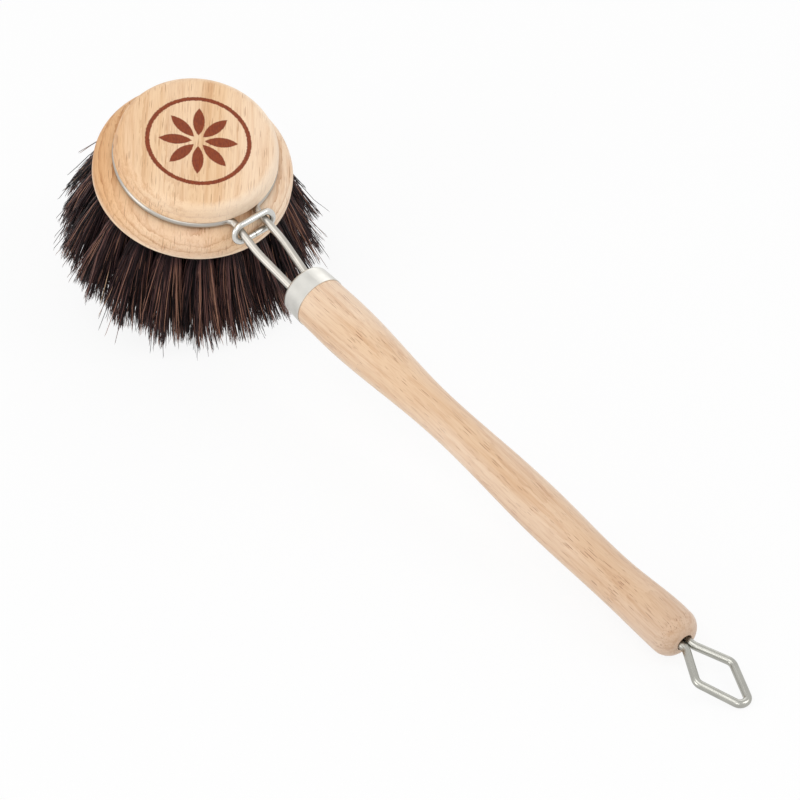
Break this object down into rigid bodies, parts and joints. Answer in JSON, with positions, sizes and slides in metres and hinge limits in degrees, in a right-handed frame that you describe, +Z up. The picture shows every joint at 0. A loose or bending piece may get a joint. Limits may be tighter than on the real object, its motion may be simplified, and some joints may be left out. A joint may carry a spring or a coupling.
{
  "type": "dish brush",
  "caption": "Dish brush with a round wooden head of dark hair tufts that swivels in a spring-wire clamp with a sliding lock ring, on a shaped wooden handle with a wire hanging loop.",
  "frame": {"origin": "on the table under the middle of the brush's length and width, where it lies on the tips of two tufts and on the end of its hanging loop", "axes": "+X along the brush from head to hanging loop, +Z up from the table, Y across; the XZ plane is the plane of symmetry of handle and clamp"},
  "size_m": [0.2442, 0.066, 0.0595],
  "materials": {
    "handle_beech": "sanded beech, oiled",
    "head_beech": "turned beech, sanded",
    "ferrule_steel": "satin nickel-plated sheet steel",
    "spring_wire": "satin spring wire",
    "ring_wire": "satin wire",
    "hanger_wire": "satin wire",
    "anchor_wire": "flat drawn wire",
    "hair": "coarse dark natural hair"
  },
  "bodies": {
    "handle": {"handle": "handle_beech", "ferrule": "ferrule_steel", "clamp_wire": "spring_wire", "hanging_loop": "hanger_wire"},
    "head": {"head_block": "head_beech", "tuft_centre_01": "hair", "tuft_inner_01": "hair", "tuft_inner_02": "hair", "tuft_inner_03": "hair", "tuft_inner_04": "hair", "tuft_inner_05": "hair", "tuft_inner_06": "hair", "tuft_middle_01": "hair", "tuft_middle_02": "hair", "tuft_middle_03": "hair", "tuft_middle_04": "hair", "tuft_middle_05": "hair", "tuft_middle_06": "hair", "tuft_middle_07": "hair", "tuft_middle_08": "hair", "tuft_middle_09": "hair", "tuft_middle_10": "hair", "tuft_middle_11": "hair", "tuft_middle_12": "hair", "tuft_outer_01": "hair", "tuft_outer_02": "hair", "tuft_outer_03": "hair", "tuft_outer_04": "hair", "tuft_outer_05": "hair", "tuft_outer_06": "hair", "tuft_outer_07": "hair", "tuft_outer_08": "hair", "tuft_outer_09": "hair", "tuft_outer_10": "hair", "tuft_outer_11": "hair", "tuft_outer_12": "hair", "tuft_outer_13": "hair", "tuft_outer_14": "hair", "tuft_outer_15": "hair", "tuft_outer_16": "hair", "tuft_outer_17": "hair", "tuft_outer_18": "hair", "anchors_centre": "anchor_wire", "anchors_inner": "anchor_wire", "anchors_middle": "anchor_wire", "anchors_outer": "anchor_wire"},
    "clamp_ring": {"clamp_ring": "ring_wire"}
  },
  "joints": [
    {"name": "head_swivel", "type": "hinge", "parent": "handle", "child": "head", "pos_m": [-0.07823, 0, 0.04608], "axis": [0.3781, 0, 0.9258], "continuous": true},
    {"name": "ring_slide", "type": "slide", "parent": "handle", "child": "clamp_ring", "axis": [0.9154, 0, -0.4025], "range_m": [0, 0.0185]}
  ]
}
